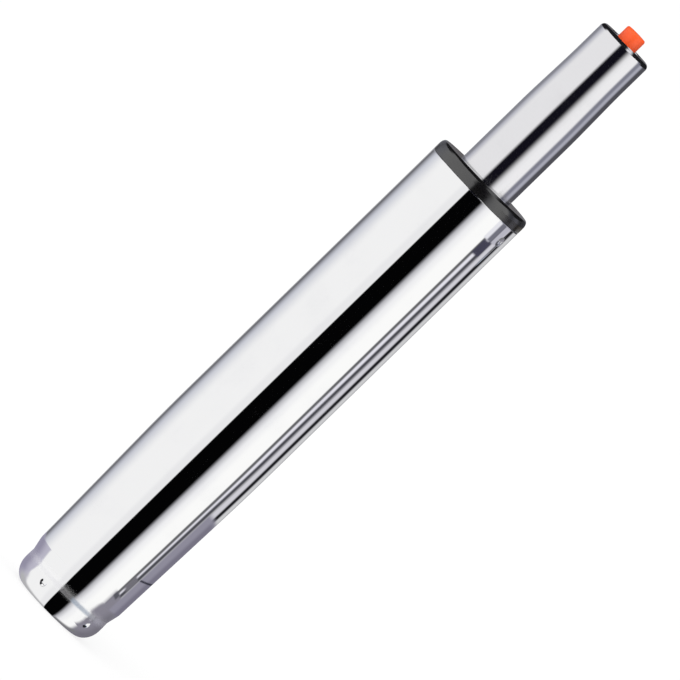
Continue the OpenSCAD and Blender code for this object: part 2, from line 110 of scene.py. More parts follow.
# Studio: white for the eye and for soft light, and cards that only the bright metal mirrors.
# A card lies between its left and right edges, in compass degrees (0 at the camera, 90 to its right),
# and its low and high edges, in degrees above the horizon; back is how far round behind the lift it
# starts. Each edge comes with the half width of its softness, and later cards hang in front of
# earlier ones.
studioBase = (0.915, 0.915, 0.915, 1)
seamFade = (162, 179)       # compass degrees, either way, over which cards end behind the lift
studioCards = [
    # fade towards the left edge
    {"glow": (0.585, 0.60, 0.665), "right": (-111.5, 24)},
    {"glow": (0.12, 0.12, 0.135), "right": (-139.5, 17)},
    # bright panel on the right, with greys and three dark lines towards the edge
    {"glow": (1.0, 1.0, 0.99), "left": (42, 12)},
    {"glow": (0.65, 0.64, 0.69), "left": (106, 3)},
    {"glow": (0.62, 0.62, 0.63), "left": (139, 4)},
    {"glow": (0.80, 0.79, 0.86), "left": (88, 2), "right": (100, 2), "low": (-8.6, 0.6)},
    {"glow": (0.13, 0.13, 0.14), "left": (82.2, 2), "right": (89.5, 2.5), "low": (-8.6, 0.6)},
    {"glow": (0.07, 0.07, 0.085), "left": (101.5, 3), "right": (112.5, 5), "drift": 1.1,
     "low": (-8.6, 0.6)},
    {"glow": (0.012, 0.012, 0.015), "left": (123.5, 4), "right": (138.5, 5), "low": (-8.6, 0.6)},
    # black flag in front, with a soft right edge
    {"glow": (0.84, 0.84, 0.85), "left": (-26, 5), "right": (-12, 1)},
    {"glow": (0.88, 0.88, 0.90), "left": (20, 1), "right": (46, 12)},
    {"glow": (0.40, 0.40, 0.43), "left": (20, 1), "right": (33, 9)},
    {"glow": (0.001, 0.001, 0.0012), "left": (-10.8, 1.2), "right": (25.9, 4.2)},
    # low cards, which the rolled edge mirrors
    {"glow": (0.50, 0.49, 0.54), "right": (-93, 8), "high": (-25, 10)},
    {"glow": (0.245, 0.235, 0.28), "left": (80, 9), "high": (-9, 1.5)},
    {"glow": (0.45, 0.45, 0.46), "right": (-11, 1), "high": (-8, 2), "back": (0.55, 0.2)},
    {"glow": (0.20, 0.20, 0.21), "left": (27, 4), "high": (-8, 2), "back": (0.45, 0.2)},
    # the room above, which the roll mark and the punch marks mirror: dark at the ceiling, with one lamp
    {"glow": (0.83, 0.825, 0.845), "low": (-1.3, 1.2)},
    {"glow": (0.02, 0.016, 0.02), "left": (-10.8, 1.5), "low": (-1.3, 1.2)},
    {"glow": (0.31, 0.37, 0.46), "left": (24, 6), "low": (-1.9, 0.7)},
    {"glow": (0.27, 0.26, 0.30), "left": (80, 8), "low": (-1.3, 1.2)},
    {"glow": (0.012, 0.012, 0.014), "low": (5, 2)},
    {"glow": (0.80, 0.80, 0.82), "left": (14, 6), "right": (40, 8), "low": (30, 6), "high": (78, 6)},
    # straight behind the lift
    {"glow": (0.42, 0.42, 0.44), "back": (0.94, 0.05)},
]


def cardMask(tree, card, azimuth, height, depth, seam):
    mask = seam if "left" in card or "right" in card else 1.0
    if "drift" in card:     # upright edges that move round with the height
        azimuth = maths(tree, "SUBTRACT", azimuth, maths(tree, "MULTIPLY", height, card["drift"]))
    if "lean" in card:      # level edges that climb with the compass angle
        height = maths(tree, "SUBTRACT", height, maths(tree, "MULTIPLY", azimuth, card["lean"]))
    places = {"left": azimuth, "right": azimuth, "low": height, "high": height, "back": depth}
    for side, place in places.items():
        if side not in card:
            continue
        edge, soft = card[side]
        ends = (1.0, 0.0) if side in ("right", "high") else (0.0, 1.0)
        part = remap(tree, place, edge - soft, edge + soft, *ends)
        mask = maths(tree, "MULTIPLY", part, mask)
    return mask


def layCards(tree, cards, colour, azimuth, height, depth=0.0):
    # cards over a backing colour, and the share that they leave clear
    clear = 1.0
    seam = remap(tree, maths(tree, "ABSOLUTE", azimuth), *seamFade, 1.0, 0.0)
    for card in cards:
        mask = cardMask(tree, card, azimuth, height, depth, seam)
        colour = mixColour(tree, mask, colour, (*card["glow"], 1))
        clear = maths(tree, "MULTIPLY", maths(tree, "SUBTRACT", 1.0, mask), clear)
    return colour, clear


def buildStudio(cards, base):
    world = bpy.data.worlds.new("studio")
    bpy.context.scene.world = world
    world.use_nodes = True
    tree = world.node_tree
    compass = addNode(tree, "SeparateXYZ", {0: addNode(tree, "TexCoord").outputs["Generated"]})
    side, depth, rise = compass.outputs
    # twice the half angle, so that upright edges stay straight in a leaning surface
    half = maths(tree, "ARCTAN2", side, maths(tree, "SUBTRACT", 1.0, depth))
    azimuth = maths(tree, "DEGREES", maths(tree, "MULTIPLY", half, 2.0))
    height = maths(tree, "DEGREES", maths(tree, "ARCSINE", rise))
    mirrored, _ = layCards(tree, cards, base, azimuth, height, depth)
    mirrorRay = addNode(tree, "LightPath").outputs["Is Glossy Ray"]
    colour = mixColour(tree, mirrorRay, (1, 1, 1, 1), mirrored)
    tree.links.new(colour, tree.nodes["Background"].inputs["Color"])


buildStudio(studioCards, studioBase)

# Walls close round the lift, clear where no card hangs on them; heights of their cards in millimetres
footWall = {"radius": 60 * mm, "heights": (-60 * mm, 64 * mm), "sides": 128}
footCards = [
    # above the left punch mark, as bright as the studio behind it
    {"glow": (0.915, 0.915, 0.915), "left": (-72, 6), "right": (-32, 4), "low": (14, 1), "high": (58, 4)},
    # on the left and right of the nose and the flare
    {"glow": (0.50, 0.485, 0.58), "right": (-78.8, 3.5), "drift": 0.43, "lean": -0.077,
     "low": (-28, 13), "high": (5.2, 1.4)},
    {"glow": (0.30, 0.285, 0.38), "right": (-99, 17), "lean": -0.077, "low": (-28, 13), "high": (5.6, 1.4)},
    {"glow": (0.249, 0.238, 0.283), "left": (70.3, 8), "drift": -0.43, "low": (-42, 12), "high": (8, 5)},
    {"glow": (0.18, 0.172, 0.205), "left": (105, 20), "low": (-42, 12), "high": (8, 5)},
]
nearWall = {
    "radius": 300 * mm,
    "heights": (-200 * mm, 480 * mm),
    "sides": 128,
    "tubeLow": (242.4, 0.3),    # lower edge of the cards that the gas spring tube mirrors
}
wallCards = [
    # on the right side of the cone, with a dark joint, and the lower end of the lines
    {"glow": (0.245, 0.235, 0.28), "left": (77, 8), "high": (-9, 1.2)},
    {"glow": (0.10, 0.10, 0.12), "left": (79, 3), "right": (93, 3),
     "low": (-12.3, 0.7), "high": (-8.8, 0.8)},
    {"glow": (0.17, 0.165, 0.19), "left": (84, 3), "right": (99, 3), "low": (-4.5, 1.5), "high": (3.2, 0.6)},
    {"glow": (0.28, 0.27, 0.335), "left": (102, 4), "high": (40.1, 1.8), "lean": 0.0614},
    {"glow": (0.19, 0.18, 0.235), "left": (128, 10), "high": (38.6, 2.2), "lean": 0.0614},
    {"glow": (0.035, 0.035, 0.05), "left": (103, 2), "right": (172, 2),
     "low": (-9.0, 0.3), "high": (-8.0, 0.3), "lean": 0.124},
    # upper end of the two nearer lines, below the collar
    {"glow": (0.06, 0.058, 0.09), "left": (82, 2), "right": (104.5, 2),
     "low": (216.9, 0.7), "high": (225.2, 0.7)},
    {"glow": (0.80, 0.80, 0.85), "left": (76, 2), "right": (87, 2.5), "low": (225.5, 0.5)},
    {"glow": (0.50, 0.495, 0.56), "left": (100, 2.5), "right": (117, 4), "low": (225.5, 0.5)},
    {"glow": (0.175, 0.175, 0.215), "left": (87, 2.5), "right": (99.3, 3), "low": (225.5, 0.5)},
    # shade beside the collar
    {"glow": (0.12, 0.10, 0.08), "left": (62, 5), "low": (236, 0.3), "high": (242.2, 0.3)},
]
tubeCards = [
    {"glow": (0.15, 0.14, 0.145)},
    {"glow": (0.915, 0.915, 0.92), "left": (-165, 10), "right": (165, 10)},
    {"glow": (0.55, 0.56, 0.62), "right": (-107, 16)},
    {"glow": (0.27, 0.275, 0.31), "right": (-127.5, 12)},
    {"glow": (1.0, 1.0, 1.0), "left": (45, 10)},
    {"glow": (0.006, 0.0056, 0.0105), "left": (-12.5, 6), "right": (28.4, 13)},
    {"glow": (0.25, 0.255, 0.31), "left": (81, 6)},
    {"glow": (0.46, 0.465, 0.54), "left": (99.5, 6)},
    {"glow": (0.09, 0.09, 0.105), "left": (117.5, 8)},
    # a dark end beyond its tip at both sides
    {"glow": (0.012, 0.012, 0.014), "right": (-100, 12), "low": (352, 6)},
    {"glow": (0.012, 0.012, 0.014), "left": (95, 12), "low": (352, 6)},
]


def hangWall(name, look, cards):
    low, high = look["heights"]
    bpy.ops.object.select_all(action="DESELECT")
    bpy.ops.mesh.primitive_cylinder_add(
        vertices=look["sides"], radius=look["radius"], depth=high - low,
        end_fill_type="NOTHING", location=(0, 0, (low + high) / 2))
    bpy.ops.object.transform_apply(location=True)
    wall = bpy.context.object
    wall.name = name
    material = bpy.data.materials.new(name)
    material.use_nodes = True
    tree = material.node_tree
    tree.nodes.clear()
    place = addNode(tree, "SeparateXYZ", {0: objectPlace(tree)}).outputs
    front = maths(tree, "MULTIPLY", place["Y"], -1.0)
    azimuth = maths(tree, "DEGREES", maths(tree, "ARCTAN2", place["X"], front))
    height = maths(tree, "DIVIDE", place["Z"], mm)
    colour, clear = layCards(tree, cards, (0, 0, 0, 1), azimuth, height)
    glow = addNode(tree, "Emission", {"Color": colour})
    gap = addNode(tree, "BsdfTransparent", {"Color": clear})
    both = addNode(tree, "AddShader", {0: glow.outputs[0], 1: gap.outputs[0]})
    addNode(tree, "OutputMaterial", {"Surface": both.outputs[0]})
    wall.data.materials.append(material)
    wall.visible_camera = False
    wall.visible_diffuse = False
    wall.visible_shadow = False


hangWall("foot_wall", footWall, footCards)
hangWall("near_wall", nearWall, wallCards + [{"low": nearWall["tubeLow"], **card} for card in tubeCards])

# Soft lamp for the plastics; the metal mirrors only the cards
keyLamp = {
    "strength": 1.3,
    "softness": 40,             # degrees
    "turn": (50, 0, -18),       # from the left front, above
}


def hangLamp(look):
    turn = [math.radians(angle) for angle in look["turn"]]
    bpy.ops.object.light_add(type="SUN", rotation=turn)
    lamp = bpy.context.object
    lamp.data.energy = look["strength"]
    lamp.data.angle = math.radians(look["softness"])
    lamp.visible_glossy = False


hangLamp(keyLamp)

floorLook = {
    "size": 60.0,
    "drop": 0.05 * mm,      # below the rim, so that the two faces don't fight
    "bounce": 0.8,          # grey that the lift is lit by
    "shadowShare": 0.2,     # part of the floor's white that a shadow can take away
    "glow": 0.78,
}


def layFloor(look):
    bpy.ops.object.select_all(action="DESELECT")
    bpy.ops.mesh.primitive_plane_add(size=look["size"], location=(0, 0, -look["drop"]))
    floor = bpy.context.object
    floor.name = "floor"
    material = bpy.data.materials.new("paleFloor")
    material.use_nodes = True
    tree = material.node_tree
    tree.nodes.clear()
    eye = addNode(tree, "LightPath").outputs["Is Camera Ray"]
    below = addNode(tree, "NewGeometry").outputs["Backfacing"]
    grey, share = look["bounce"], look["shadowShare"]
    bounce = addNode(tree, "BsdfDiffuse", {"Color": (grey, grey, grey, 1)})
    shade = addNode(tree, "BsdfDiffuse", {"Color": (share, share, share, 1)})
    glow = addNode(tree, "Emission", {"Strength": look["glow"]})
    seen = addNode(tree, "AddShader", {0: shade.outputs[0], 1: glow.outputs[0]})
    white = addNode(tree, "MixShader", {0: eye, 1: bounce.outputs[0], 2: seen.outputs[0]})
    clear = addNode(tree, "BsdfTransparent")
    final = addNode(tree, "MixShader", {0: below, 1: white.outputs[0], 2: clear.outputs[0]})
    addNode(tree, "OutputMaterial", {"Surface": final.outputs[0]})
    floor.data.materials.append(material)
    floor.visible_glossy = False    # the metal mirrors the studio's cards instead


layFloor(floorLook)
print("camera, studio, walls, lamp and floor placed")


# Surface effects that several finishes share
midNoise = (0.35, 0.65)     # values between which most of a noise lies


def newGroup(name, inputs, outputs):
    group = bpy.data.node_groups.new(name, "ShaderNodeTree")
    for label, value in inputs.items():
        socket = group.interface.new_socket(name=label, in_out="INPUT", socket_type="NodeSocketFloat")
        socket.default_value = value
    for label in outputs:
        group.interface.new_socket(name=label, in_out="OUTPUT", socket_type="NodeSocketFloat")
    start = group.nodes.new("NodeGroupInput")
    end = group.nodes.new("NodeGroupOutput")
    return group, start, end


def noise(tree, place, size, detail=3.0, roughness=0.5):
    scale = maths(tree, "DIVIDE", 1.0, size)
    inputs = {"Vector": place, "Scale": scale, "Detail": detail, "Roughness": roughness}
    return addNode(tree, "TexNoise", inputs).outputs[0]


def makeHandlingFilm():
    # patches of wiped-on film and fingermarks
    bare, fall, soft = 0.8, 0.6, 0.12   # noise level of no cover, its fall at full cover, soft edge
    group, start, end = newGroup("handlingFilm", {"Size": 20 * mm, "Cover": 0.4}, ["Mask"])
    cloud = noise(group, objectPlace(group), start.outputs["Size"], detail=5.0, roughness=0.6)
    edge = maths(group, "SUBTRACT", bare, maths(group, "MULTIPLY", start.outputs["Cover"], fall))
    low = maths(group, "SUBTRACT", edge, soft)
    high = maths(group, "ADD", edge, soft)
    group.links.new(remap(group, cloud, low, high), end.inputs["Mask"])
    return group


def makeDrawnGrain():
    # fine lines left along the axis by drawing and polishing
    group, start, end = newGroup("drawnGrain", {"Width": 0.3 * mm, "Stretch": 80.0}, ["Height"])
    shrink = maths(group, "DIVIDE", 1.0, start.outputs["Stretch"])
    squeeze = addNode(group, "CombineXYZ", {"X": 1.0, "Y": 1.0, "Z": shrink})
    inputs = {0: objectPlace(group), 1: squeeze.outputs[0]}
    place = addNode(group, "VectorMath", inputs, operation="MULTIPLY").outputs[0]
    group.links.new(noise(group, place, start.outputs["Width"], detail=2.0), end.inputs["Height"])
    return group


def makeLatheGrain():
    # rings left round the axis by turning and grinding
    group, start, end = newGroup("latheGrain", {"Pitch": 0.2 * mm}, ["Height"])
    parts = addNode(group, "SeparateXYZ", {0: objectPlace(group)})
    across = addNode(group, "CombineXYZ", {"X": parts.outputs["X"], "Y": parts.outputs["Y"]})
    radius = addNode(group, "VectorMath", {0: across.outputs[0]}, operation="LENGTH").outputs["Value"]
    place = addNode(group, "CombineXYZ", {"X": radius, "Y": parts.outputs["Z"]}).outputs[0]
    group.links.new(noise(group, place, start.outputs["Pitch"], detail=2.0), end.inputs["Height"])
    return group


def makeMouldGrain():
    # fine skin of a moulded part, and the slow change of tone under it
    toneSize = 18.0     # grains across one change of tone
    group, start, end = newGroup("mouldGrain", {"Size": 0.4 * mm}, ["Height", "Tone"])
    place = objectPlace(group)
    group.links.new(noise(group, place, start.outputs["Size"], detail=2.0), end.inputs["Height"])
    slow = maths(group, "MULTIPLY", start.outputs["Size"], toneSize)
    group.links.new(remap(group, noise(group, place, slow), *midNoise), end.inputs["Tone"])
    return group


def makeEdgeRub():
    # edges rubbed bare, broken up by noise
    flatTurn, sharpTurn = 0.995, 0.9    # between these the rubbing sets in
    patchSize = 6.0                     # reaches across one patch of it
    group, start, end = newGroup("edgeRub", {"Reach": 0.4 * mm}, ["Mask"])
    bevelled = addNode(group, "Bevel", {"Radius": start.outputs["Reach"]}, samples=4).outputs[0]
    flat = addNode(group, "NewGeometry").outputs["Normal"]
    turn = addNode(group, "VectorMath", {0: bevelled, 1: flat}, operation="DOT_PRODUCT").outputs["Value"]
    edge = remap(group, turn, flatTurn, sharpTurn)
    patch = maths(group, "MULTIPLY", start.outputs["Reach"], patchSize)
    broken = remap(group, noise(group, objectPlace(group), patch), *midNoise)
    group.links.new(maths(group, "MULTIPLY", edge, broken), end.inputs["Mask"])
    return group


handlingFilm = makeHandlingFilm()
drawnGrain = makeDrawnGrain()
latheGrain = makeLatheGrain()
mouldGrain = makeMouldGrain()
edgeRub = makeEdgeRub()


def useGroup(tree, group, **inputs):
    return addNode(tree, "Group", inputs, node_tree=group).outputs


def newMaterial(name):
    material = bpy.data.materials.new(name)
    material.use_nodes = True
    return material, material.node_tree, material.node_tree.nodes["Principled BSDF"].inputs


def raised(tree, height, distance, under=None):
    inputs = {"Height": height, "Distance": distance}
    if under:
        inputs["Normal"] = under
    return addNode(tree, "Bump", inputs).outputs[0]


# Bright chrome plate on the column and the gas spring tube
plainPlate = {
    "filmSize": 25 * mm,
    "filmCover": 0.35,
    "waveSize": 30 * mm,            # slow waves of the tube under the plate
    "waveHeight": 0.004 * mm,
    "lineWidth": 0.3 * mm,          # fine lines along the tube
    "lineStretch": 100,
}
columnChrome = {
    **plainPlate,
    "colour": (0.955, 0.955, 0.96, 1),
    "filmColour": (0.93, 0.93, 0.94, 1),
    "polish": 0.02,                 # roughness of clean plate
    "filmPolish": 0.06,             # roughness under a wiped film
    "lineHeight": 0.00002 * mm,
    "rollMark": {"height": 12.2 * mm, "reach": 3.2 * mm, "dulling": 0.12, "haze": 0.1},
}
tubeChrome = {
    **plainPlate,
    "colour": (0.83, 0.825, 0.84, 1),
    "filmColour": (0.79, 0.785, 0.80, 1),
    "polish": 0.06,
    "filmPolish": 0.09,
    "lineHeight": 0.00001 * mm,
}


def chromePlate(name, look):
    material, tree, shader = newMaterial(name)
    film = useGroup(tree, handlingFilm, Size=look["filmSize"], Cover=look["filmCover"])["Mask"]
    tree.links.new(mixColour(tree, film, look["colour"], look["filmColour"]), shader["Base Color"])
    shader["Metallic"].default_value = 1.0
    polish = remap(tree, film, 0, 1, look["polish"], look["filmPolish"])
    if "rollMark" in look:      # a band that the roller left less bright, and a little hazy
        mark = look["rollMark"]
        height = addNode(tree, "SeparateXYZ", {0: objectPlace(tree)}).outputs["Z"]
        away = maths(tree, "ABSOLUTE", maths(tree, "SUBTRACT", height, mark["height"]))
        polish = maths(tree, "ADD", remap(tree, away, 0, mark["reach"], mark["dulling"], 0), polish)
        shine = remap(tree, away, 0, mark["reach"], 1 - mark["haze"], 1)
        tree.links.new(shine, shader["Metallic"])
    tree.links.new(polish, shader["Roughness"])
    wave = noise(tree, objectPlace(tree), look["waveSize"], detail=1.0)
    lines = useGroup(tree, drawnGrain, Width=look["lineWidth"], Stretch=look["lineStretch"])["Height"]
    slow = raised(tree, wave, look["waveHeight"])
    tree.links.new(raised(tree, lines, look["lineHeight"], slow), shader["Normal"])
    return material


# Steel, aluminium and brass, each with its own colour, polish and tool marks
metalWear = {"stainSize": 6 * mm, "stainCover": 0.45, "rubReach": 0.3 * mm}
metalLooks = {
    "dark_steel": {"colour": (0.30, 0.30, 0.32), "stain": (0.17, 0.165, 0.17), "rub": (0.55, 0.55, 0.57),
                   "polish": (0.28, 0.5), "pitch": 0.25 * mm, "mark": 0.004 * mm},
    "zinc_steel": {"colour": (0.66, 0.67, 0.70), "stain": (0.52, 0.53, 0.56), "rub": (0.8, 0.8, 0.82),
                   "polish": (0.2, 0.36), "pitch": 0.2 * mm, "mark": 0.002 * mm},
    "bearing_steel": {"colour": (0.62, 0.62, 0.64), "stain": (0.42, 0.39, 0.33), "rub": (0.8, 0.8, 0.82),
                      "polish": (0.12, 0.3), "pitch": 0.12 * mm, "mark": 0.001 * mm},
    "ball_steel": {"colour": (0.78, 0.78, 0.80), "stain": (0.66, 0.64, 0.6), "rub": (0.85, 0.85, 0.87),
                   "polish": (0.05, 0.16), "pitch": 0.2 * mm, "mark": 0.0002 * mm},
    "rod_steel": {"colour": (0.74, 0.74, 0.76), "stain": (0.6, 0.59, 0.57), "rub": (0.85, 0.85, 0.87),
                  "polish": (0.08, 0.2), "pitch": 0.1 * mm, "mark": 0.0006 * mm},
    "drawn_steel": {"colour": (0.52, 0.52, 0.54), "stain": (0.38, 0.37, 0.36), "rub": (0.68, 0.68, 0.7),
                    "polish": (0.2, 0.4), "pitch": 0.3 * mm, "mark": 0.002 * mm},
    "aluminium": {"colour": (0.76, 0.76, 0.78), "stain": (0.62, 0.62, 0.63), "rub": (0.86, 0.86, 0.88),
                  "polish": (0.22, 0.4), "pitch": 0.2 * mm, "mark": 0.003 * mm},
    "brass": {"colour": (0.74, 0.53, 0.22), "stain": (0.5, 0.33, 0.13), "rub": (0.85, 0.66, 0.33),
              "polish": (0.18, 0.36), "pitch": 0.2 * mm, "mark": 0.003 * mm},
}


def metalFinish(name, look):
    material, tree, shader = newMaterial(name)
    wear = metalWear
    stain = useGroup(tree, handlingFilm, Size=wear["stainSize"], Cover=wear["stainCover"])["Mask"]
    rub = useGroup(tree, edgeRub, Reach=wear["rubReach"])["Mask"]
    tint = mixColour(tree, stain, (*look["colour"], 1), (*look["stain"], 1))
    tree.links.new(mixColour(tree, rub, tint, (*look["rub"], 1)), shader["Base Color"])
    shader["Metallic"].default_value = 1.0
    tree.links.new(remap(tree, stain, 0, 1, *look["polish"]), shader["Roughness"])
    marks = useGroup(tree, latheGrain, Pitch=look["pitch"])["Height"]
    tree.links.new(raised(tree, marks, look["mark"]), shader["Normal"])
    return material


# Moulded plastics and rubber
mouldedWear = {"filmSize": 8 * mm, "filmCover": 0.4, "rubReach": 0.25 * mm}
plainMould = {"polish": (0.35, 0.5), "gloss": 0.5, "ior": 1.5, "grain": 0.3 * mm, "mark": 0.003 * mm}
mouldedLooks = {
    "black_plastic": {**plainMould, "colour": (0.004, 0.0038, 0.004), "tone": (0.007, 0.0065, 0.007),
                      "rub": (0.03, 0.029, 0.03), "polish": (0.12, 0.2), "gloss": 1.0, "ior": 1.6,
                      "mark": 0.002 * mm},
    "orange_plastic": {**plainMould, "colour": (0.95, 0.101, 0.012), "tone": (0.91, 0.093, 0.011),
                       "rub": (0.97, 0.18, 0.06), "polish": (0.3, 0.42)},
    "cage_plastic": {**plainMould, "colour": (0.72, 0.5, 0.2), "tone": (0.64, 0.43, 0.16),
                     "rub": (0.8, 0.6, 0.32)},
    "pale_plastic": {**plainMould, "colour": (0.8, 0.77, 0.68), "tone": (0.74, 0.7, 0.6),
                     "rub": (0.84, 0.82, 0.76)},
    "black_rubber": {**plainMould, "colour": (0.02, 0.02, 0.022), "tone": (0.032, 0.031, 0.032),
                     "rub": (0.05, 0.05, 0.05), "polish": (0.55, 0.75), "gloss": 0.4,
                     "grain": 0.25 * mm, "mark": 0.006 * mm},
}


def mouldedFinish(name, look):
    material, tree, shader = newMaterial(name)
    wear = mouldedWear
    skin = useGroup(tree, mouldGrain, Size=look["grain"])
    film = useGroup(tree, handlingFilm, Size=wear["filmSize"], Cover=wear["filmCover"])["Mask"]
    rub = useGroup(tree, edgeRub, Reach=wear["rubReach"])["Mask"]
    tint = mixColour(tree, skin["Tone"], (*look["colour"], 1), (*look["tone"], 1))
    tree.links.new(mixColour(tree, rub, tint, (*look["rub"], 1)), shader["Base Color"])
    tree.links.new(remap(tree, film, 0, 1, *look["polish"]), shader["Roughness"])
    shader["Specular IOR Level"].default_value = look["gloss"]
    shader["IOR"].default_value = look["ior"]
    tree.links.new(raised(tree, skin["Height"], look["mark"]), shader["Normal"])
    return material


finishes = {"chrome_shell": chromePlate("columnChrome", columnChrome)}
groundChrome = chromePlate("tubeChrome", tubeChrome)
for slotName, look in metalLooks.items():
    finishes[slotName] = metalFinish(slotName, look)
for slotName, look in mouldedLooks.items():
    finishes[slotName] = mouldedFinish(slotName, look)
nodeSlots = {part["node"]: part["material_slot"] for part in frame["record"]["subparts"]}
for nodeName, part in frame["nodes"].items():
    part.data.materials.clear()
    part.data.materials.append(finishes[nodeSlots[nodeName]])
print("finishes made:", len(finishes))


# Modelling helpers: outlines are (radius, height) points in metres
weldGap = 0.001 * mm                # points nearer than this become one
creaseAngle = math.radians(40)      # sharper edges stay sharp in smooth shading


def arc(centre, radius, start, end, steps, rise=None):
    # rise is the upward radius where it isn't the one across
    rise = rise or radius
    turns = [math.radians(start + (end - start) * i / steps) for i in range(steps + 1)]
    return [(centre[0] + radius * math.cos(a), centre[1] + rise * math.sin(a)) for a in turns]


def run(first, last, steps):
    # evenly spaced points after the first one
    return [tuple(a + (b - a) * i / steps for a, b in zip(first, last)) for i in range(1, steps + 1)]


def rounded(corners, steps=4):
    # closed outline through corners given as (radius, height, rounding)
    points = []
    for i, (across, height, size) in enumerate(corners):
        if not size:
            points.append((across, height))
            continue
        here = Vector((across, height))
        back = (Vector(corners[i - 1][:2]) - here).normalized()
        ahead = (Vector(corners[(i + 1) % len(corners)][:2]) - here).normalized()
        half = back.angle(ahead) / 2
        middle = here + (back + ahead).normalized() * size / math.sin(half)
        first = here + back * size / math.tan(half) - middle
        last = here + ahead * size / math.tan(half) - middle
        start = math.degrees(math.atan2(first.y, first.x))
        turn = (math.degrees(math.atan2(last.y, last.x)) - start + 180) % 360 - 180
        points += arc(middle, size, start, start + turn, steps)
    return points


def drawLine(name, points):
    # a plane shrinks to one point, which is pulled along the line
    bpy.ops.object.select_all(action="DESELECT")
    bpy.ops.mesh.primitive_plane_add(size=mm)
    piece = bpy.context.object
    piece.name = name
    bpy.ops.object.mode_set(mode="EDIT")
    bpy.ops.mesh.select_mode(type="VERT")
    bpy.ops.mesh.merge(type="CENTER")
    bpy.ops.transform.translate(value=points[0])
    for here, there in zip(points, points[1:]):
        step = [b - a for a, b in zip(here, there)]
        bpy.ops.mesh.extrude_region_move(TRANSFORM_OT_translate={"value": step})
    bpy.ops.object.mode_set(mode="OBJECT")
    return piece


def joinEnds(piece):
    # an edge from the outline's last point back to its first
    for vertex in piece.data.vertices:
        vertex.select = False
    for edge in piece.data.edges:
        edge.select = False
    piece.data.vertices[0].select = True
    piece.data.vertices[-1].select = True
    bpy.ops.object.mode_set(mode="EDIT")
    bpy.ops.mesh.edge_face_add()
    bpy.ops.object.mode_set(mode="OBJECT")


def turnPiece(name, outline, sides, closed=True):
    # the outline goes once round the axis, as on a lathe
    piece = drawLine(name, [(radius, 0, height) for radius, height in outline])
    if closed:
        joinEnds(piece)
    bpy.ops.object.modifier_add(type="SCREW")
    lathe = piece.modifiers[-1]
    lathe.steps = sides
    lathe.render_steps = sides
    lathe.use_merge_vertices = True
    lathe.merge_threshold = weldGap
    bpy.ops.object.modifier_apply(modifier=lathe.name)
    bpy.ops.object.mode_set(mode="EDIT")
    bpy.ops.mesh.select_all(action="SELECT")
    bpy.ops.mesh.remove_doubles(threshold=weldGap)
    bpy.ops.mesh.normals_make_consistent(inside=False)
    bpy.ops.object.mode_set(mode="OBJECT")
    bpy.ops.object.shade_smooth_by_angle(angle=creaseAngle)
    return piece


def finishPiece(piece, body, slotName, *nodes, finish=None):
    piece.data.materials.clear()
    piece.data.materials.append(finish or finishes[slotName])
    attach(piece, body)
    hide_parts(*nodes)
    print(piece.name, "has", len(piece.data.polygons), "faces")


# Outer column: rolled nose, flared base cone and straight tube, with punch marks
column = {
    "wall": 1.8 * mm,
    "rim": 12 * mm,             # radius of the opening in the nose
    "lip": 0.4 * mm,            # rounding of the cut edges
    "rollWidth": 7 * mm,        # roll of the bottom edge
    "rollHeight": 8.6 * mm,
    # steepness of the wall at heights in millimetres: roll mark, flare, then the cone
    "bends": [(9.6, 0), (11.2, -0.045), (12.1, -0.045), (12.9, 0),
              (13.6, 0.235), (18, 0.22), (19.8, 0.0251)],
    "coneTop": 93.5 * mm,
    "coneAngle": 1.44,          # half angle, degrees
    "coneBlend": 14 * mm,       # half height of the soft change from cone to tube
    "hold": 0.2 * mm,           # ring that keeps the wall straight up to a rounding
    "markBand": (9.6 * mm, 4.8 * mm),   # finer rings for the top marks, down from the top
    "steps": {"lip": 4, "roll": 32, "innerRoll": 10, "cone": 5, "blend": 10, "tube": 9, "band": 16},
    "sides": 512,
    "nosePunches": {"angles": [-114 + 72 * i for i in range(5)], "height": 5.5 * mm,
                    "reach": 1.9 * mm, "depth": 0.72 * mm},
    "topPunches": {"angles": [-27, 153], "height": 242.8 * mm, "reach": 2.2 * mm, "depth": 0.7 * mm},
}


def wallCurve(bends, topRadius):
    # radii up the wall from its steepness at a few heights, ending at the top radius
    points = [(0.0, bends[0][0] * mm)]
    for (low, lean), (high, nextLean) in zip(bends, bends[1:]):
        start = points[-1][0]
        steps = 3 if lean == nextLean else 6    # a straight stretch needs fewer
        for i in range(1, steps + 1):
            climb = (high - low) * mm * i / steps
            points.append((start + climb * (lean + (nextLean - lean) * i / steps / 2), low * mm + climb))
    shift = topRadius - points[-1][0]
    return [(across + shift, height) for across, height in points]


